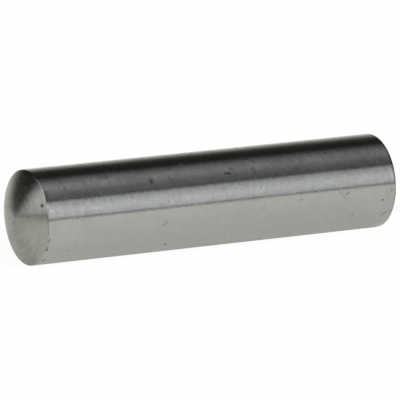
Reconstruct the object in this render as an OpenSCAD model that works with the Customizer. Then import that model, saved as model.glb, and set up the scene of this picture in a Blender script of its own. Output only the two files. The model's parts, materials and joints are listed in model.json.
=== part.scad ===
// Solid parallel dowel pin: one turned and ground piece with a shallow dome on each end.
// Its axis lies along X and the middle of the pin is the origin.

/* [Shank] */
// Diameter of the ground shank
shank_d = 5; // [2.5:0.5:9]
// Overall length, from the tip of one dome to the tip of the other
pin_l = 22; // [8:1:60]

/* [Ends] */
// Radius of the dome on each end
dome_r = 5.2; // [4:0.1:20]
// Radius that breaks the edge between a dome and the shank
edge_r = 0.1; // [0.05:0.01:0.6]

/* [Hidden] */
$fn = 180;

// Radius of the shank
shank_r = shank_d / 2;
// Distance from the middle of the pin to the centre of a dome
dome_x = pin_l / 2 - dome_r;
// The edge break is a ring of round section that touches both the shank and the dome:
// its centre line has this radius, and lies this far beyond the dome's centre
ring_r = shank_r - edge_r;
ring_x = sqrt(pow(dome_r - edge_r, 2) - pow(ring_r, 2));

// Half section of the shank, which runs straight from the middle of one ring to the other
module shank_section() {
    translate([0, -dome_x - ring_x])
        square([shank_r, 2 * (dome_x + ring_x)]);
}

// Half section of one end, measured from its dome's centre: a slice of a round disc that
// stops where the ring touches it, and the ring
module end_section() {
    intersection() {
        circle(r = dome_r);
        polygon([[0, 0], [2 * ring_r, 2 * ring_x], [0, 2 * dome_r]]);
    }
    translate([ring_r, ring_x])
        circle(r = edge_r);
}

// The whole pin, turned about its axis
module dowel_pin() {
    color([0.64, 0.64, 0.62])
        rotate([0, 90, 0])
            rotate_extrude() {
                shank_section();
                translate([0, dome_x])
                    end_section();
                mirror([0, 1])
                    translate([0, dome_x])
                        end_section();
            }
}

dowel_pin();
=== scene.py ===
"""A ground steel dowel pin lying on a white sheet in a small light tent.

Everything is in metres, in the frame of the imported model: the pin's axis is X, its middle is the
origin, and it lies on its side with +Z up. The pin is one lathe mesh that stands for the CAD
solid and has the same form, with its pits, nicks and scratches pressed into it.
"""

import json
import math
import random

import bmesh
import bpy
import numpy as np
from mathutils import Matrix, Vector


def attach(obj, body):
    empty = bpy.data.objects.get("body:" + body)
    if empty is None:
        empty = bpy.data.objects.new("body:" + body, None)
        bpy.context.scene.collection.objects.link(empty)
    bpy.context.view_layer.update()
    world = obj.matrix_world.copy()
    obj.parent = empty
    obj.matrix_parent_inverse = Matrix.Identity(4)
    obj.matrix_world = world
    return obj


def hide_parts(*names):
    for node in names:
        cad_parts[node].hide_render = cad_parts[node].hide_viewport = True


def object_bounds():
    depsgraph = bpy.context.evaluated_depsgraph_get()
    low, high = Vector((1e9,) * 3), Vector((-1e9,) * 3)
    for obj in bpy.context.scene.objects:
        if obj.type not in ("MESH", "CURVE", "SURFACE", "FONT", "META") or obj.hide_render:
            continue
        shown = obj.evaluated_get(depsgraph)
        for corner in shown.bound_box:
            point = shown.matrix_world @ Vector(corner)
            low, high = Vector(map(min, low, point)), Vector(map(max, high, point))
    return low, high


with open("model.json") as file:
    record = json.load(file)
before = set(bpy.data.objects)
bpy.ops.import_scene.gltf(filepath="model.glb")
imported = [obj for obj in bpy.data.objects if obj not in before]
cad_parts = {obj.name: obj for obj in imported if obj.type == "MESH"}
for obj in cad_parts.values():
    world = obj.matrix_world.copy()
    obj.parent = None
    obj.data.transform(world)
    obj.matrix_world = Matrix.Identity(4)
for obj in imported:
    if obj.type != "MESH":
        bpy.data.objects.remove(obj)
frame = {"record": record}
cad_low, cad_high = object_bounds()

MM = 0.001

# ---------------------------------------------------------------- sizes
shank = next(m for m in frame["record"]["mounts"] if m["name"] == "shank")
SHANK_R = shank["dims"]["r_mm"] * MM
SHANK_HALF = shank["dims"]["length_mm"] / 2 * MM
PIN_HALF = (cad_high.x - cad_low.x) / 2
EDGE_R = 0.1 * MM                     # radius of the edge break, as in the CAD
RISE = PIN_HALF - SHANK_HALF          # from the end of the straight shank to the tip
RING_R = SHANK_R - EDGE_R             # radius of the edge break's centre line
# The dome that meets the edge break smoothly and ends at the tip
DOME_R = (RISE**2 + RING_R**2 - EDGE_R**2) / (2 * (RISE - EDGE_R))
DOME_ANGLE = math.asin(RING_R / (DOME_R - EDGE_R))
DOME_CENTRE = PIN_HALF - DOME_R
EDGE_START = DOME_CENTRE + DOME_R * math.cos(DOME_ANGLE)  # x where the dome meets the edge break
EDGE_LENGTH = EDGE_R * (math.pi / 2 - DOME_ANGLE)         # along the profile


# ---------------------------------------------------------------- node helpers
class Tree:
    """A short way to write a node tree: every call makes a node and gives one of its outputs."""

    def __init__(self, tree):
        self.tree = tree
        tree.nodes.clear()

    def add(self, kind, inputs=(), output=0, **settings):
        made = self.tree.nodes.new(kind)
        for name, value in settings.items():
            setattr(made, name, value)
        for key, value in dict(inputs).items():
            if isinstance(value, bpy.types.NodeSocket):
                self.tree.links.new(value, made.inputs[key])
            else:
                made.inputs[key].default_value = value
        return made.outputs[output] if len(made.outputs) else made

    def math(self, operation, *values):
        return self.add("ShaderNodeMath", dict(enumerate(values)), operation=operation)

    def vector(self, operation, *values, output=0):
        inputs = dict(enumerate(values))
        return self.add("ShaderNodeVectorMath", inputs, output, operation=operation)

    def scale(self, vector, factor):
        """A vector or a colour times a number."""
        inputs = {0: vector, "Scale": factor}
        return self.add("ShaderNodeVectorMath", inputs, operation="SCALE")

    def dot(self, vector, direction):
        return self.vector("DOT_PRODUCT", vector, tuple(direction), output=1)

    def step(self, value, low, high, bottom=0.0, top=1.0):
        """A smooth step of value, from bottom at low to top at high."""
        inputs = {"Value": value, 1: low, 2: high, 3: bottom, 4: top}
        return self.add("ShaderNodeMapRange", inputs, interpolation_type="SMOOTHSTEP")

    def line(self, value, low, high, bottom=0.0, top=1.0):
        """Straight from bottom at low to top at high, and level outside them."""
        inputs = {"Value": value, 1: low, 2: high, 3: bottom, 4: top}
        return self.add("ShaderNodeMapRange", inputs)

    def noise(self, vector, scales, detail=2.0, roughness=0.5):
        """Noise from 0 to 1 around 0.5; scales are per unit along each of the vector's axes."""
        scaled = self.vector("MULTIPLY", vector, scales)
        inputs = {"Vector": scaled, "Scale": 1.0, "Detail": detail, "Roughness": roughness}
        return self.add("ShaderNodeTexNoise", inputs)

    def blend(self, factor, first, second):
        """A colour between first and second."""
        inputs = {0: factor, 6: first, 7: second}
        return self.add("ShaderNodeMix", inputs, output=2, data_type="RGBA")


# ---------------------------------------------------------------- the pin's mesh
AROUND = 192                          # points in each ring
SHANK_STEPS = 210                     # steps along the straight shank
DOME_STEPS = 26                       # steps from the tip to the edge break
EDGE_STEPS = 5                        # steps over the edge break
FINER = 3                             # cuts in each edge of the grid near a mark
TINY = 1e-9                           # keeps a division by a length away from 0


def end_profile():
    """(x, radius) from the tip of the +X end to the start of its straight shank."""
    points = []
    for i in range(1, DOME_STEPS + 1):
        angle = DOME_ANGLE * i / DOME_STEPS
        points.append((DOME_CENTRE + DOME_R * math.cos(angle), DOME_R * math.sin(angle)))
    for i in range(1, EDGE_STEPS + 1):
        angle = DOME_ANGLE + (math.pi / 2 - DOME_ANGLE) * i / EDGE_STEPS
        points.append((SHANK_HALF + EDGE_R * math.cos(angle), RING_R + EDGE_R * math.sin(angle)))
    return points


def pin_profile():
    """(x, radius) of every ring of the mesh, from the -X end to the +X end."""
    right = end_profile()
    left = [(-x, r) for x, r in right]
    straight = [
        (SHANK_HALF * (2 * i / SHANK_STEPS - 1), SHANK_R) for i in range(1, SHANK_STEPS)
    ]
    return left + straight + right[::-1]


def make_lathe():
    """The plain pin as a bmesh: rings of vertices joined by quads, with a fan at each tip."""
    bm = bmesh.new()
    rings = []
    for x, r in pin_profile():
        ring = []
        for j in range(AROUND):
            a = 2 * math.pi * j / AROUND
            ring.append(bm.verts.new((x, -r * math.sin(a), r * math.cos(a))))
        rings.append(ring)
    for first, second in zip(rings, rings[1:]):
        for j in range(AROUND):
            k = (j + 1) % AROUND
            bm.faces.new((first[j], first[k], second[k], second[j]))
    left_tip = bm.verts.new((-PIN_HALF, 0, 0))
    right_tip = bm.verts.new((PIN_HALF, 0, 0))
    for j in range(AROUND):
        k = (j + 1) % AROUND
        bm.faces.new((left_tip, rings[0][k], rings[0][j]))
        bm.faces.new((right_tip, rings[-1][j], rings[-1][k]))
    return bm


def read_surface(co):
    """For each point: distance along the profile from the middle of the pin, angle round it from
    +Z towards -Y, distance from the axis, outward normal, and how far it is below the surface."""
    x, y, z = co.T
    side = np.sign(x)
    r = np.hypot(y, z)
    around = np.arctan2(-y, z)
    in_x = np.abs(x)
    dome = in_x > EDGE_START
    shank = in_x < SHANK_HALF
    centre_x = np.where(dome, DOME_CENTRE, np.where(shank, in_x, SHANK_HALF))
    centre_r = np.where(dome, 0.0, np.where(shank, 0.0, RING_R))
    radius = np.where(dome, DOME_R, np.where(shank, SHANK_R, EDGE_R))
    out_x = in_x - centre_x
    out_r = r - centre_r
    reach = np.maximum(np.hypot(out_x, out_r), TINY)
    angle = np.arctan2(out_r, out_x)
    along = np.where(shank, in_x, SHANK_HALF + EDGE_R * (math.pi / 2 - angle))
    along = np.where(dome, SHANK_HALF + EDGE_LENGTH + DOME_R * (DOME_ANGLE - angle), along)
    share = out_r / np.maximum(r, TINY)
    out = np.stack([side * out_x, y * share, z * share], 1)
    return side * along, around, r, out / reach[:, None], radius - reach


# ---------------------------------------------------------------- marks
HOLLOW_SHARPNESS = 1.4                # of the bell-shaped hollow of a mark
LIP_PLACE = 1.5                       # top of the lip, in half widths from the mark's middle line
LIP_SHARPNESS = 4
TONE_GAIN = 1.5                       # keeps the tone even over the inner part of the hollow
FINER_REACH = 0.9                     # the finer grid goes this many of a mark's widths from its
FINER_MARGIN = 0.05 * MM              # middle line, and this much further
BACK_SPECKS = 60                      # specks on the sides that the camera doesn't see
BACK_SEED = 7


class Mark:
    """A dent with a soft floor and a raised lip. It runs from one place on the surface to another,
    or is a round pit where they are the same. A place is (millimetres along the profile from the
    pin's middle, degrees round the pin from the top towards the front). Bow moves the middle of
    the mark that many millimetres along. A mark of negative depth is a ridge, and one that is less
    than 0 dark is painted brighter than the steel, as a glint."""

    def __init__(self, start, end=None, width=0.1, depth=0.006, lip=0.003, dark=0.4, bow=0.0):
        self.width = width * MM
        self.depth = depth * MM
        self.lip = lip * MM
        self.dark = dark
        end = end or start
        self.places = [start, end]
        if start != end:
            middle = ((start[0] + end[0]) / 2 + bow, (start[1] + end[1]) / 2)
            self.places = [start, middle, end]

    def distance(self, along, around, r):
        """From each point of the surface to the mark's middle line."""
        flat = []
        for place_along, place_around in self.places:
            turn = around - math.radians(place_around)
            turn = (turn + math.pi) % (2 * math.pi) - math.pi
            flat.append((along - place_along * MM, turn * r))
        nearest = np.hypot(*flat[0])
        for (u0, v0), (u1, v1) in zip(flat, flat[1:]):
            du, dv = u0 - u1, v0 - v1
            length_squared = np.maximum(du**2 + dv**2, TINY**2)
            t = np.clip((u0 * du + v0 * dv) / length_squared, 0, 1)
            nearest = np.minimum(nearest, np.hypot(u0 - t * du, v0 - t * dv))
        return nearest


def painted_glint(start, end=None, width=0.1, light=0.5):
    """A spot or short streak painted brighter than the steel round it: a painted glint."""
    return Mark(start, end, width=width, depth=0.001, lip=0, dark=-light)


def ridge(start, end, width=0.07, height=0.004, bow=0.0):
    """A thin line of metal pushed up above the surface."""
    return Mark(start, end, width=width, depth=-height, lip=0, dark=0, bow=bow)


def scratch(start, end, width=0.05, dark=0.2, bow=0.0):
    """A hairline with next to no depth."""
    return Mark(start, end, width=width, depth=0.004, lip=0.001, dark=dark, bow=bow)


def upper_marks():
    """Bruises, pits, specks and painted glints on the upper front of the shank."""
    return [
        Mark((-4.0, 49), (-4.0, 52), width=0.2, depth=0.01, lip=0.005, dark=0.62),
        Mark((-4.05, 45), (-4.0, 48), width=0.08, dark=0.35),
        Mark((0.4, 49), (0.65, 51), width=0.15, depth=0.01, lip=0.005, dark=0.65),
        Mark((0.6, 47), (0.6, 49), width=0.08, dark=0.45),
        Mark((0.7, 43), (0.85, 44), width=0.1, dark=0.27),
        Mark((2.05, 46), width=0.12, lip=0.005, dark=0.35),
        Mark((6.65, 34), width=0.15, depth=0.01, lip=0.005, dark=0.32),
        Mark((-6.5, 37), width=0.12, lip=0.005, dark=0.4),
        Mark((-1.9, 27), width=0.1, lip=0.005, dark=0.6),
        Mark((-10.15, 25), width=0.1, depth=0.003, lip=0, dark=0.4),
        Mark((-9.4, 32), width=0.1, dark=0.4),
        Mark((-9.05, 40), width=0.09, depth=0.002, dark=0.1),
        Mark((-9.05, 47), width=0.13, lip=0.005, dark=0.32),
        Mark((-8.6, 51), (-8.6, 55), width=0.08, depth=0.002, dark=0.2),
        Mark((-7.8, 43), (-7.8, 47), width=0.1, depth=0.002, dark=0.15),
        Mark((-6.9, 51), (-6.9, 54), width=0.1, dark=0.25),
        Mark((-6.4, 44), width=0.09, dark=0.25),
        Mark((-5.55, 52), width=0.09, dark=0.25),
        Mark((-3.3, 36), width=0.1, dark=0.3),
        Mark((-2.9, 47), width=0.11, lip=0.005, dark=0.26),
        Mark((-2.7, 32), (-2.7, 36), width=0.08, depth=0.002, dark=0.1),
        Mark((-1.5, 48), width=0.12, depth=0.003, dark=0.2),
        Mark((0.05, 55), (0.05, 59), width=0.07, depth=0.002, lip=0, dark=0.2),
        Mark((-0.55, 33), width=0.08, depth=0.003, dark=0.2),
        Mark((0.7, 35), width=0.08, depth=0.003, dark=0.2),
        Mark((1.9, 31), width=0.12, dark=0.8),
        Mark((2.25, 38), width=0.08, depth=0.003, dark=0.2),
        Mark((5.0, 43), width=0.14, depth=0.003, dark=0.2),
        Mark((7.1, 48), width=0.12, depth=0.003, dark=0.15),
        Mark((8.65, 40), width=0.12, depth=0.003, dark=0.25),
        Mark((-10.15, 49), (-10.2, 57), width=0.13, depth=0.003, lip=0, dark=0.5),
        painted_glint((-9.9, 24), light=1.0),
        painted_glint((-9.2, 46), width=0.08, light=0.4),
        painted_glint((-8.9, 41), (-8.75, 46), width=0.08, light=0.38),
        painted_glint((-7.6, 43), width=0.09, light=0.4),
        painted_glint((-7.1, 57), width=0.09, light=0.6),
        painted_glint((-6.25, 25), (-6.2, 28), light=1.0),
        painted_glint((-5.85, 26), width=0.14, light=1.0),
        painted_glint((-5.65, 48), light=0.35),
        painted_glint((-5.25, 50), light=0.4),
        painted_glint((-5.0, 47), light=0.3),
        painted_glint((-3.75, 43), (-3.7, 44), light=0.3),
        painted_glint((-2.8, 45), light=0.35),
        painted_glint((-1.85, 28), light=1.0),
        painted_glint((-1.4, 44), light=0.35),
        painted_glint((-1.15, 34), light=0.8),
        painted_glint((-0.8, 31), (-0.8, 33), width=0.08, light=0.6),
        painted_glint((1.8, 50), light=0.4),
        painted_glint((1.95, 60), width=0.09, light=0.3),
        painted_glint((4.0, 50), (4.0, 53), light=0.18),
        painted_glint((4.1, 62), width=0.09, light=0.5),
        painted_glint((4.95, 59), width=0.09, light=0.4),
        painted_glint((6.9, 46), (6.9, 49), light=0.12),
        painted_glint((8.85, 37), (8.85, 41), width=0.08, light=0.45),
        painted_glint((9.35, 42), light=0.6),
    ]


def front_marks():
    """Painted glints where the front of the shank is brightest, faint specks among them, and a
    few painted glints on the dark line below."""
    return [
        Mark((-9.75, 74), width=0.08, depth=0.002, dark=0.08),
        Mark((-9.7, 81), width=0.08, depth=0.001, lip=0, dark=0.2),
        Mark((-9.1, 82), width=0.08, depth=0.001, lip=0, dark=0.15),
        Mark((-8.75, 68), width=0.08, depth=0.002, dark=0.12),
        Mark((-8.0, 65), width=0.08, depth=0.002, dark=0.09),
        Mark((-6.5, 72), (-6.55, 78), width=0.05, depth=0.001, dark=0.08),
        Mark((-5.35, 67), width=0.09, depth=0.003, dark=0.3),
        Mark((-3.3, 74), (-3.3, 78), width=0.06, depth=0.001, lip=0, dark=0.3),
        Mark((-2.95, 70), (-2.95, 74), width=0.06, depth=0.001, dark=0.15),
        Mark((-2.6, 75), width=0.09, depth=0.003, dark=0.25),
        Mark((1.05, 65), width=0.08, depth=0.002, dark=0.15),
        Mark((2.2, 69), (2.4, 78), width=0.06, depth=0.001, dark=0.08),
        Mark((3.8, 77), width=0.08, depth=0.002, dark=0.12),
        Mark((7.4, 65), width=0.08, depth=0.002, dark=0.06),
        Mark((7.6, 67), width=0.09, depth=0.002, dark=0.12),
        painted_glint((-10.25, 65), (-10.25, 68), width=0.09, light=0.25),
        painted_glint((-10.15, 79), width=0.09, light=0.16),
        painted_glint((-10.15, 72), (-10.05, 73), width=0.13, light=0.25),
        painted_glint((-9.95, 73), width=0.16, light=0.14),
        painted_glint((-10.0, 77), width=0.09, light=0.2),
        painted_glint((-9.75, 72), width=0.09, light=0.3),
        painted_glint((-9.7, 74), width=0.08, light=0.35),
        painted_glint((-9.5, 79), width=0.12, light=0.21),
        painted_glint((-8.9, 73), light=0.12),
        painted_glint((-8.85, 81), width=0.08, light=0.2),
        painted_glint((-8.35, 70), (-8.3, 75), width=0.16, light=0.06),
        painted_glint((-7.75, 74), (-7.2, 75), width=0.12, light=0.12),
        painted_glint((-7.45, 69), width=0.07, light=0.2),
        painted_glint((-7.15, 64), width=0.08, light=0.25),
        painted_glint((-6.9, 73), (-6.6, 74), width=0.1, light=0.12),
        painted_glint((-6.45, 73), (-6.45, 76), width=0.07, light=0.15),
        painted_glint((-5.8, 65), width=0.09, light=0.2),
        painted_glint((-5.3, 71), (-5.3, 73), light=0.1),
        painted_glint((-4.75, 83), light=0.18),
        painted_glint((-4.15, 83), (-4.1, 83), width=0.12, light=0.25),
        painted_glint((-4.0, 80), (-3.95, 84), width=0.12, light=0.21),
        painted_glint((-3.1, 75), (-3.1, 79), width=0.07, light=0.15),
        painted_glint((-2.15, 73), width=0.2, light=0.13),
        painted_glint((-1.7, 82), (-1.6, 82), width=0.12, light=0.18),
        painted_glint((-1.35, 79), (-1.3, 82), width=0.12, light=0.08),
        painted_glint((0.0, 73), (0.0, 79), width=0.07, light=0.15),
        painted_glint((2.45, 70), (2.2, 77), width=0.07, light=0.18),
        painted_glint((3.55, 80), (3.55, 83), light=0.18),
        painted_glint((3.7, 82), (4.25, 81), width=0.13, light=0.12),
        painted_glint((5.95, 66), (5.95, 71), width=0.08, light=0.15),
        painted_glint((6.35, 72), (6.45, 74), width=0.11, light=0.15),
        painted_glint((6.8, 62), width=0.09, light=0.25),
        painted_glint((6.95, 81), width=0.12, light=0.12),
        painted_glint((8.9, 68), (8.9, 72), width=0.08, light=0.08),
        painted_glint((9.5, 79), (9.5, 82), width=0.08, light=0.15),
        painted_glint((10.15, 66), (10.15, 80), width=0.08, light=0.22),
    ]


def lower_marks():
    """Pits, specks and hairlines on the lower front of the shank, and a painted glint."""
    return [
        Mark((-3.1, 137), width=0.14, depth=0.02, dark=0.7),
        Mark((9.55, 103), (9.6, 103), width=0.11, depth=0.015, dark=0.6),
        Mark((7.3, 90), (7.5, 89), width=0.08, dark=0.28),
        Mark((4.55, 91), (4.65, 91), width=0.09, dark=0.25),
        Mark((7.85, 120), (7.95, 120), width=0.08, dark=0.42),
        Mark((9.75, 126), (10.0, 121), width=0.09, dark=0.45),
        Mark((10.2, 120), width=0.1, dark=0.3),
        Mark((9.9, 98), (10.0, 98), width=0.07, dark=0.22),
        Mark((10.1, 90), (10.1, 93), width=0.08, depth=0.002, lip=0, dark=0.3),
        Mark((10.15, 146), width=0.08, dark=0.25),
        Mark((-8.4, 88), width=0.08, dark=0.25),
        Mark((-6.0, 149), width=0.12, dark=0.42),
        Mark((-9.0, 127), width=0.12, dark=0.3),
        Mark((-8.55, 118), width=0.08, dark=0.15),
        Mark((-4.45, 82), width=0.09, depth=0.002, lip=0, dark=0.4),
        Mark((-3.05, 82), width=0.08, depth=0.002, lip=0, dark=0.25),
        Mark((-1.1, 89), width=0.08, depth=0.002, lip=0, dark=0.1),
        Mark((-0.45, 104), width=0.1, dark=0.15),
        scratch((-3.65, 105), (-3.4, 100), width=0.07, dark=0.4, bow=0.06),
        scratch((6.9, 87), (7.35, 98), width=0.06, dark=0.22, bow=0.06),
        scratch((2.35, 91), (2.35, 100), dark=0.2),
        scratch((1.25, 104), (1.25, 110), dark=0.12),
        scratch((0.8, 91), (0.8, 104), dark=0.08),
        scratch((-4.0, 94), (-4.0, 99), dark=0.1),
        scratch((-6.75, 114), (-6.6, 111), dark=0.12),
        scratch((4.25, 95), (4.5, 92), dark=0.1),
        painted_glint((4.3, 96), width=0.09, light=0.15),
    ]


def end_marks():
    """Nicks behind the -X edge, a dark stretch of its rim and a painted highlight on another, and
    a pit, specks, fine ridges, painted glints and scratches painted bright on the -X dome."""
    return [
        Mark((-10.25, 111), (-10.2, 107), width=0.09, dark=0.5),
        Mark((-10.25, 121), (-10.25, 123), width=0.11, depth=0.015, dark=0.7),
        Mark((-10.25, 117), (-10.25, 119), width=0.08, dark=0.5),
        Mark((-10.2, 144), (-10.1, 141), width=0.13, dark=0.6),
        Mark((-10.6, 64), width=0.17, depth=0.02, lip=0.001, dark=0.85),
        Mark((-10.3, 70), (-10.35, 80), width=0.09, depth=0.001, lip=0, dark=0.42),
        painted_glint((-10.35, 59), (-10.35, 65), width=0.08, light=0.35),
        painted_glint((-10.75, 5), (-10.7, 7), width=0.09, light=1.0),
        painted_glint((-11.35, 50), width=0.09, light=0.3),
        Mark((-11.25, 100), width=0.1, depth=0.006, dark=0.22),
        Mark((-11.4, -72), width=0.1, dark=0.2),
        ridge((-11.5, -5), (-11.05, 11)),
        ridge((-11.35, 12), (-11.0, 21)),
        ridge((-10.7, 2), (-10.65, 10), height=0.006),
        scratch((-11.05, 202), (-11.3, 160), dark=-0.35),
        scratch((-11.15, 182), (-10.85, 164), dark=-0.35),
        scratch((-11.55, 205), (-11.4, 185), dark=-0.35),
    ]


def scattered_marks():
    """Small shallow specks on the back, the underside and the +X end, so that no side is bare."""
    rng = random.Random(BACK_SEED)
    marks = []
    for _ in range(BACK_SPECKS):
        along = rng.uniform(-10.2, 11.5)
        around = rng.uniform(160, 370)
        marks.append(
            Mark(
                (along, around),
                width=rng.uniform(0.05, 0.1),
                depth=rng.uniform(0.003, 0.009),
                lip=0.002,
                dark=rng.choice([0.0, 0.1, 0.3]),
            )
        )
    return marks


def refine_near(bm, marks):
    """Cuts the grid finer round each mark. The new vertices aren't on the true surface yet."""
    bm.faces.ensure_lookup_table()
    centres = np.array([face.calc_center_median()[:] for face in bm.faces])
    along, around, r, _, _ = read_surface(centres)
    near = np.zeros(len(centres), bool)
    for mark in marks:
        near |= mark.distance(along, around, r) < mark.width * FINER_REACH + FINER_MARGIN
    edges = {edge for i in np.flatnonzero(near) for edge in bm.faces[i].edges}
    bmesh.ops.subdivide_edges(bm, edges=list(edges), cuts=FINER, use_grid_fill=True)


def press_marks(bm, marks):
    """Seats every vertex on the true surface, presses the marks in, and gives how dark each is."""
    bm.verts.ensure_lookup_table()
    co = np.array([v.co[:] for v in bm.verts])
    along, around, r, normal, below = read_surface(co)
    dent = np.zeros(len(co))
    dark = np.zeros(len(co))
    for mark in marks:
        q = mark.distance(along, around, r) / (mark.width / 2)
        hollow = np.exp(-(q**2) * HOLLOW_SHARPNESS)
        lip = np.exp(-((q - LIP_PLACE) ** 2) * LIP_SHARPNESS)
        dent += mark.depth * hollow - mark.lip * lip
        tone = mark.dark * np.clip(TONE_GAIN * hollow, 0, 1)
        dark = np.where(np.abs(tone) > np.abs(dark), tone, dark)
    co += normal * (below - dent)[:, None]
    for vertex, place in zip(bm.verts, co):
        vertex.co = place
    return along, dark


def make_pin():
    """The pin with its marks. Its points carry where they are along the profile and how dark."""
    marks = upper_marks() + front_marks() + lower_marks() + end_marks() + scattered_marks()
    bm = make_lathe()
    refine_near(bm, marks)
    along, dark = press_marks(bm, marks)
    mesh = bpy.data.meshes.new("ground_pin")
    bm.to_mesh(mesh)
    bm.free()
    mesh.shade_smooth()
    for name, values in (("along", along), ("mark", dark)):
        attribute = mesh.attributes.new(name, "FLOAT", "POINT")
        attribute.data.foreach_set("value", values.astype(np.float32))
    mesh.update()
    pin = bpy.data.objects.new("ground_pin", mesh)
    bpy.context.scene.collection.objects.link(pin)
    return pin


# ---------------------------------------------------------------- steel
STEEL = (0.40, 0.405, 0.38, 1)
DULL_STEEL = (0.33, 0.33, 0.298, 1)   # the domes, turned and not ground
RIM_HIGHLIGHT_STEEL = (0.9, 0.9, 0.88, 1)    # a painted highlight on the rim of the -X end
PIT = (0.02, 0.018, 0.015, 1)
GLINT_GAIN = 2.0                      # how many times the steel's brightness a painted glint of light 1 has
CLEAN_ROUGHNESS = 0.19
SCUFFED_ROUGHNESS = 0.33
ANISOTROPY = 0.88                     # how far the grinding lines smear reflections


class Spot:
    """Where a shaded point of the pin is, in millimetres, and what is there, as node outputs."""

    def __init__(self, t):
        place = t.scale(t.add("ShaderNodeTexCoord", output=3), 1 / MM)
        along = t.add("ShaderNodeAttribute", output=2, attribute_name="along")
        y = t.add("ShaderNodeSeparateXYZ", {0: place}, output=1)
        self.z = t.add("ShaderNodeSeparateXYZ", {0: place}, output=2)
        self.along = t.math("MULTIPLY", along, 1 / MM)  # the profile, from the pin's middle
        self.unrolled = t.add("ShaderNodeCombineXYZ", {0: self.along, 1: y, 2: self.z})
        past_shank = t.math("SUBTRACT", t.math("ABSOLUTE", self.along), SHANK_HALF / MM)
        # the end begins with the edge break, and the rim is the outer half of that
        self.on_end = t.step(past_shank, 0.0, 0.03)
        self.up_to_rim = t.step(past_shank, 0.05, 0.07, 1.0, 0.0)
        self.on_rim = t.math("MULTIPLY", t.step(past_shank, -0.01, 0.005), self.up_to_rim)
        self.lines = t.noise(self.unrolled, (9, 1.6, 1.6), detail=2, roughness=0.5)
        mark = t.add("ShaderNodeAttribute", output=2, attribute_name="mark")
        # painted glints: where the mark is below 0, the steel is painted up to twice as bright
        self.bright = t.line(mark, -1, 0, GLINT_GAIN, 1.0)
        self.dark = t.math("MAXIMUM", mark, 0.0)


def steel_bump(t, spot):
    """Grinding lines, a few deeper grooves and a slight unevenness, all gentler on the domes."""
    grooves = t.step(t.noise(spot.unrolled, (7, 1.1, 1.1), detail=1, roughness=0.5), 0.58, 0.68)
    clouds = t.noise(spot.unrolled, (2.0, 2.4, 2.4), detail=2, roughness=0.5)
    lumps = t.noise(spot.unrolled, (6, 5, 5), detail=2, roughness=0.5)
    height = t.math("MULTIPLY", spot.lines, 0.0006)
    height = t.math("MULTIPLY_ADD", clouds, 0.002, height)
    height = t.math("MULTIPLY_ADD", lumps, 0.0013, height)
    height = t.math("MULTIPLY_ADD", grooves, -0.001, height)
    height = t.math("MULTIPLY", height, t.line(spot.on_end, 0, 1, 1.0, 0.4))
    return t.add("ShaderNodeBump", {"Height": height, "Distance": MM, "Strength": 1.0})


def steel_shade(t, spot):
    """How light the steel is against its plain colour, around 1, with painted shade on the rims and
    a painted light gradient along the pin.
    """
    z = spot.z

    def swing(noise, amount):
        return t.math("MULTIPLY", t.math("SUBTRACT", noise, 0.5), amount)

    # grinding lines on the shank and turned rings on the domes
    rings = t.noise(spot.unrolled, (6, 0.8, 0.8), detail=3, roughness=0.6)
    shade = t.math("ADD", swing(spot.lines, t.line(spot.on_end, 0, 1, 0.07, 0.0)), 1.0)
    shade = t.math("ADD", shade, swing(rings, t.line(spot.on_end, 0, 1, 0.0, 0.6)))

    # painted shade: the rims' dark stretches stand in for dark reflections
    # both rims have a dark stretch just below mid height, and the +X rim is darker all round,
    # most of all high up
    rim_painted_shade = t.math("MULTIPLY", t.step(z, 0.15, -0.1), t.step(z, -0.75, -0.55, 0.0, 0.28))
    shade = t.math("SUBTRACT", shade, t.math("MULTIPLY", spot.on_rim, rim_painted_shade))
    far_rim_painted_shade = t.math("MULTIPLY", t.step(spot.along, 10.2, 10.28), t.step(z, 0.5, 1.4, 0.12, 0.4))
    shade = t.math("SUBTRACT", shade, t.math("MULTIPLY", far_rim_painted_shade, spot.up_to_rim))

    # small blotches, stronger above mid height, and broad ones, strongest near the top
    mottle = t.noise(spot.unrolled, (3.2, 3.0, 3.0), detail=3, roughness=0.6)
    amount = t.math("ADD", t.step(z, -0.2, 0.5, 0.1, 0.4), t.step(z, 1.1, 1.4, 0.0, 0.15))
    shade = t.math("ADD", shade, swing(mottle, amount))
    shifted = t.vector("ADD", spot.unrolled, (7, 0, 0))
    drift = t.noise(shifted, (0.5, 0.9, 0.9), detail=2, roughness=0.6)
    shade = t.math("ADD", shade, swing(drift, t.step(z, 0.9, 1.5, 0.14, 0.5)))

    # painted light: a lengthwise gradient of light painted into the steel's colour
    # the steel is a little lighter towards -X, but the very top a little lighter towards +X
    painted_light_slope = t.math("ADD", t.step(z, 0.6, 1.3, 0.03, 0.07), t.step(z, 2.15, 2.45, 0.0, -0.1))
    painted_light_slope = t.math("MULTIPLY", painted_light_slope, t.line(spot.along, -10, 10, 1.0, -1.0))
    return t.math("MULTIPLY", shade, t.math("ADD", painted_light_slope, 1.0))


def steel_colour(t, spot):
    """Ground steel, duller on the domes, with a painted highlight on the -X rim, pits, and painted
    glints.
    """
    steel = t.blend(spot.on_end, STEEL, DULL_STEEL)
    # painted highlight: the rim's colour stands in for a bright reflection on its upper part
    # the rim is bright from a little above mid height, brightest high up, and fades at the top
    rim_highlight = t.math("ADD", t.step(spot.z, 0.35, 0.7, 0.0, 0.3), t.step(spot.z, 1.6, 1.85, 0.0, 0.7))
    rim_highlight = t.math("MULTIPLY", rim_highlight, t.step(spot.z, 2.15, 2.3, 1.0, 0.25))
    near_end = t.math("LESS_THAN", spot.along, 0.0)
    rim_highlight = t.math("MULTIPLY", rim_highlight, t.math("MULTIPLY", spot.on_rim, near_end))
    steel = t.blend(rim_highlight, steel, RIM_HIGHLIGHT_STEEL)
    steel = t.scale(t.scale(steel, steel_shade(t, spot)), spot.bright)
    return t.blend(spot.dark, steel, PIT)


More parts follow.
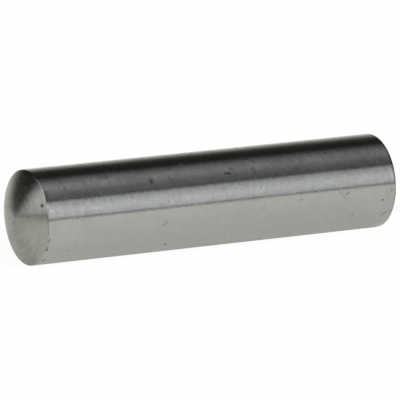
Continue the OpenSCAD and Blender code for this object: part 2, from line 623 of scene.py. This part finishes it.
def steel_roughness(t, spot):
    """Scuffed patches, the domes and the marks are rougher than clean ground steel."""
    scuffs = t.noise(spot.unrolled, (4, 5, 5), detail=3, roughness=0.6)
    rough = t.line(scuffs, 0.52, 0.75, CLEAN_ROUGHNESS, SCUFFED_ROUGHNESS)
    rough = t.math("MULTIPLY_ADD", spot.on_end, 0.03, rough)
    return t.math("MULTIPLY_ADD", spot.dark, 0.3, rough)


def make_steel():
    """Steel ground round the pin: the fine lines run round it and smear reflections lengthwise."""
    material = bpy.data.materials.new("ground_steel")
    material.use_nodes = True
    t = Tree(material.node_tree)
    spot = Spot(t)
    surface = t.add(
        "ShaderNodeBsdfPrincipled",
        {
            "Base Color": steel_colour(t, spot),
            "Metallic": 1.0,
            "Roughness": steel_roughness(t, spot),
            "Anisotropic": ANISOTROPY,
            "Anisotropic Rotation": 0.25,
            "Tangent": t.add("ShaderNodeTangent", direction_type="RADIAL", axis="X"),
            "Normal": steel_bump(t, spot),
        },
    )
    t.add("ShaderNodeOutputMaterial", {"Surface": surface})
    return material


# ---------------------------------------------------------------- studio
CAMERA_AZIMUTH = math.radians(-28.85)
CAMERA_ELEVATION = math.radians(11.3)
CAMERA_DISTANCE = 289 * MM
CAMERA_AIM = Vector((-0.113, 0.0, -0.06)) * MM
LENS = 496.0                          # millimetres


def from_camera_heading(degrees):
    """The level direction that many degrees clockwise from straight away from the camera."""
    angle = math.radians(degrees) - CAMERA_AZIMUTH
    return Vector((math.sin(angle), math.cos(angle), 0.0))


def towards(heading, elevation):
    """The direction with that heading, raised by elevation; both in degrees."""
    e = math.radians(elevation)
    return from_camera_heading(heading) * math.cos(e) + Vector((0, 0, math.sin(e)))


def make_camera():
    """Looks down on the pin a little from its front left, from far off through a long lens."""
    data = bpy.data.cameras.new("camera")
    data.lens = LENS
    data.clip_start = 0.01
    data.clip_end = 10.0
    camera = bpy.data.objects.new("camera", data)
    bpy.context.scene.collection.objects.link(camera)
    a, e = CAMERA_AZIMUTH, CAMERA_ELEVATION
    back = Vector((math.sin(a) * math.cos(e), -math.cos(a) * math.cos(e), math.sin(e)))
    camera.location = CAMERA_AIM + back * CAMERA_DISTANCE
    camera.rotation_euler = (-back).to_track_quat("-Z", "Y").to_euler()
    bpy.context.scene.camera = camera


COOL_LIGHT = (0.97, 0.995, 1.05, 1)
WARM_LIGHT = (1.02, 1.0, 0.96, 1)
WHITE = (1, 1, 1, 1)
CEILING_PATCH = towards(68, 63.5)
OVERHEAD_PANEL = towards(190, 55)     # high behind the camera
LEAST_LIGHT = 0.026                   # what the steel sees in the tent's gaps
DEGREES = 180 / math.pi


def soft_box(t, heading, elevation):
    """A bright band round the camera's side. Its left wing reaches below the horizon, and the
    wing's end leans."""
    wing = t.step(heading, -125, -105)
    wing = t.math("MULTIPLY", wing, t.step(heading, 0, 1, 1.0, 0.0))
    low_edge = t.math("MAXIMUM", t.step(elevation, 0.3, 5.0, 0.22, 1.0), wing)
    high_edge = t.step(elevation, 37.5, 38.3, 1.0, 0.0)
    # brightest 17 degrees up
    up_to_glow = t.step(elevation, 3, 17, 0.86, 1.0)
    glow = t.math("MULTIPLY", up_to_glow, t.step(elevation, 17, 45, 1.03, 0.5))
    box = t.math("MULTIPLY", t.math("MULTIPLY", low_edge, high_edge), glow)
    right_end = t.step(heading, 95, 103)
    leaning = t.math("MULTIPLY_ADD", elevation, 0.65, heading)
    leaning = t.math("MULTIPLY_ADD", t.step(elevation, 0, -7), -7.5, leaning)
    left_end = t.step(leaning, -90.5, -66.5, 1.0, 0.0)
    left_end = t.math("MULTIPLY", left_end, t.step(heading, -106, -99, 0.85, 1.0))
    return t.math("MULTIPLY", box, t.math("MAXIMUM", right_end, left_end))


def backdrop(t, heading, elevation):
    """A card behind the pin, fading upwards. Its left side leans."""
    left_side = t.math("MULTIPLY_ADD", elevation, -0.25, heading)
    left_side = t.math("MULTIPLY_ADD", t.step(elevation, 0, -7), 4.0, left_side)
    left_side = t.step(left_side, -58, -15)
    sides = t.math("MULTIPLY", left_side, t.step(heading, 14, 26, 1.0, 0.0))
    return t.math("MULTIPLY", t.step(elevation, -2, 37, 0.92, 0.0), sides)


def make_world():
    """The tent as the steel sees it, and plain white to the camera. Headings run clockwise from
    straight away from the camera."""
    world = bpy.data.worlds.new("light_tent")
    world.use_nodes = True
    bpy.context.scene.world = world
    t = Tree(world.node_tree)
    direction = t.add("ShaderNodeTexCoord")

    def angle_from(vector):
        return t.math("MULTIPLY", t.math("ARCCOSINE", t.dot(direction, vector)), DEGREES)

    elevation = t.math("MULTIPLY", t.math("ARCSINE", t.dot(direction, (0, 0, 1))), DEGREES)
    ahead = t.dot(direction, from_camera_heading(0))
    right = t.dot(direction, from_camera_heading(90))
    heading = t.math("MULTIPLY", t.math("ARCTAN2", right, ahead), DEGREES)

    # a dim ceiling over the camera's side, with a soft patch of light on it
    off_back = t.math("ABSOLUTE", heading)
    ceiling = t.math("MULTIPLY", t.step(off_back, 40, 105, 0.0, 0.17), t.step(elevation, 37, 45))
    patch = t.step(angle_from(CEILING_PATCH), 4, 26, 0.29, 0.0)
    panel = t.step(angle_from(OVERHEAD_PANEL), 9, 20, 1.5, 0.0)
    box = soft_box(t, heading, elevation)
    lamps = t.math("ADD", t.math("ADD", t.math("MAXIMUM", box, panel), ceiling), patch)
    cool = t.add("ShaderNodeBackground", {"Color": COOL_LIGHT, "Strength": lamps})

    # a faint wall on the left, low down
    wall = t.math("MULTIPLY", t.step(heading, -35, -60), t.step(elevation, 6, 19, 0.026, 0.002))
    card = t.math("ADD", backdrop(t, heading, elevation), wall)
    card = t.math("ADD", card, LEAST_LIGHT)
    warm = t.add("ShaderNodeBackground", {"Color": WARM_LIGHT, "Strength": card})

    lit = t.add("ShaderNodeAddShader", {0: cool, 1: warm})
    white = t.add("ShaderNodeBackground", {"Color": WHITE, "Strength": 1.0})
    by_camera = t.add("ShaderNodeLightPath", output=0)
    mixed = t.add("ShaderNodeMixShader", {0: by_camera, 1: lit, 2: white})
    t.add("ShaderNodeOutputWorld", {"Surface": mixed})


LAMP_TOWARDS = towards(118, 32)
LAMP_DISTANCE = 0.5
LAMP_SIZE = 0.28
LAMP_POWER = 3.1                      # watts


def make_lamp():
    """Lights the sheet from the right and leaves the pin's soft shadow on it."""
    data = bpy.data.lights.new("key", "AREA")
    data.shape = "DISK"
    data.size = LAMP_SIZE
    data.energy = LAMP_POWER
    lamp = bpy.data.objects.new("key", data)
    bpy.context.scene.collection.objects.link(lamp)
    lamp.location = LAMP_TOWARDS * LAMP_DISTANCE
    lamp.rotation_euler = (-LAMP_TOWARDS).to_track_quat("-Z", "Y").to_euler()
    lamp.visible_glossy = False
    lamp.visible_camera = False


FLOOR_HALF = 3.0
SHEET_PAPER = (0.9, 0.9, 0.9, 1)
SHEET_GLOW = (1.02, 1.01, 0.975, 1)
SHEET_BACK = 17.5 * MM                # where the lit sheet ends behind the pin
SHEET_SHADOW_STRIP = 5.5 * MM                  # a painted shadow strip along that edge
SHEET_MIDDLE = Vector((13, -12, -2.5)) * MM  # where the sheet is lit most
SHADOW_REACH = 12 * MM
SHADOW = 0.74                         # the sheet's level under the pin, as the steel sees it
WHITENESS = 0.965                     # how far the camera sees plain white, without the shadow
BACKLIGHT = 0.58                      # share of the sheet's light that comes from below


def sheet_level(t, place, behind):
    """How brightly lit the steel sees the sheet, from 0 to 1."""
    leftward = t.dot(place, (-1, 0, 0))
    from_middle = t.vector("DISTANCE", place, tuple(SHEET_MIDDLE), output=1)
    fade = t.step(from_middle, 28 * MM, 60 * MM, 1.0, 0.64)
    fade = t.math("MULTIPLY", fade, t.step(from_middle, 65 * MM, 160 * MM, 1.0, 0.8))

    # the left part, which the -X dome reflects, is lit a little more
    lift = t.step(leftward, 12 * MM, 20 * MM, 0.0, 0.05)
    lift = t.math("MULTIPLY", lift, t.step(leftward, 40 * MM, 58 * MM, 1.0, 0.0))
    fade = t.math("ADD", fade, lift)

    # painted shade: a shadow strip before the back edge at the left, and a dim corner before it
    shadow_strip_start = SHEET_BACK - SHEET_SHADOW_STRIP
    shadow_strip = t.step(behind, shadow_strip_start, shadow_strip_start + 2 * MM)
    shadow_strip = t.math("MULTIPLY", shadow_strip, t.step(leftward, 15 * MM, 19 * MM, 0.0, 0.7))
    corner = t.step(behind, 1 * MM, 7 * MM)
    corner = t.math("MULTIPLY", corner, t.step(leftward, 12 * MM, 15 * MM, 0.0, 0.15))
    kept = t.math("SUBTRACT", 1.0, t.math("ADD", shadow_strip, corner))

    inputs = {"Distance": SHADOW_REACH}
    open_sky = t.add("ShaderNodeAmbientOcclusion", inputs, output=1, samples=8)
    shadow = t.line(open_sky, 0, 1, SHADOW, 1.0)
    return t.math("MULTIPLY", t.math("MULTIPLY", fade, kept), shadow)


def make_floor():
    """A white sheet lit from below as well. The camera sees it as white with a faint shadow; the
    steel sees it end a little way behind the pin, and fade far from it."""
    side = FLOOR_HALF
    z = -SHANK_R
    mesh = bpy.data.meshes.new("floor")
    corners = [(-side, -side, z), (side, -side, z), (side, side, z), (-side, side, z)]
    mesh.from_pydata(corners, [], [(0, 1, 2, 3)])
    floor = bpy.data.objects.new("floor", mesh)
    bpy.context.scene.collection.objects.link(floor)
    material = bpy.data.materials.new("white_sheet")
    material.use_nodes = True
    t = Tree(material.node_tree)
    place = t.add("ShaderNodeNewGeometry")
    behind = t.dot(place, (0, 1, 0))
    white = t.add("ShaderNodeBsdfDiffuse", {"Color": SHEET_PAPER})

    # to the camera: nearly all its own even white, with a little of the shadow
    glow = t.add("ShaderNodeEmission", {"Color": WHITE, "Strength": 1.0})
    to_camera = t.add("ShaderNodeMixShader", {0: WHITENESS, 1: white, 2: glow})

    # to the steel: lit paper where it lies, and nothing past its back edge
    warm_glow = t.add("ShaderNodeEmission", {"Color": SHEET_GLOW, "Strength": 1.0})
    lit = t.add("ShaderNodeMixShader", {0: BACKLIGHT, 1: white, 2: warm_glow})
    black = t.add("ShaderNodeEmission", {"Color": (0, 0, 0, 1), "Strength": 0.0})
    level = sheet_level(t, place, behind)
    to_steel = t.add("ShaderNodeMixShader", {0: level, 1: black, 2: lit})
    open_air = t.add("ShaderNodeBsdfTransparent")
    past_edge = t.step(behind, SHEET_BACK, SHEET_BACK + MM)
    to_steel = t.add("ShaderNodeMixShader", {0: past_edge, 1: to_steel, 2: open_air})

    by_camera = t.add("ShaderNodeLightPath", output=0)
    by_steel = t.add("ShaderNodeLightPath", output=3)
    sheet = t.add("ShaderNodeMixShader", {0: by_camera, 1: white, 2: to_camera})
    sheet = t.add("ShaderNodeMixShader", {0: by_steel, 1: sheet, 2: to_steel})
    t.add("ShaderNodeOutputMaterial", {"Surface": sheet})
    mesh.materials.append(material)


make_camera()
pin = make_pin()
pin.data.materials.append(make_steel())
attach(pin, "root")
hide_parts("dowel_pin")
make_world()
make_lamp()
make_floor()

bpy.context.scene.view_settings.view_transform = "Standard"
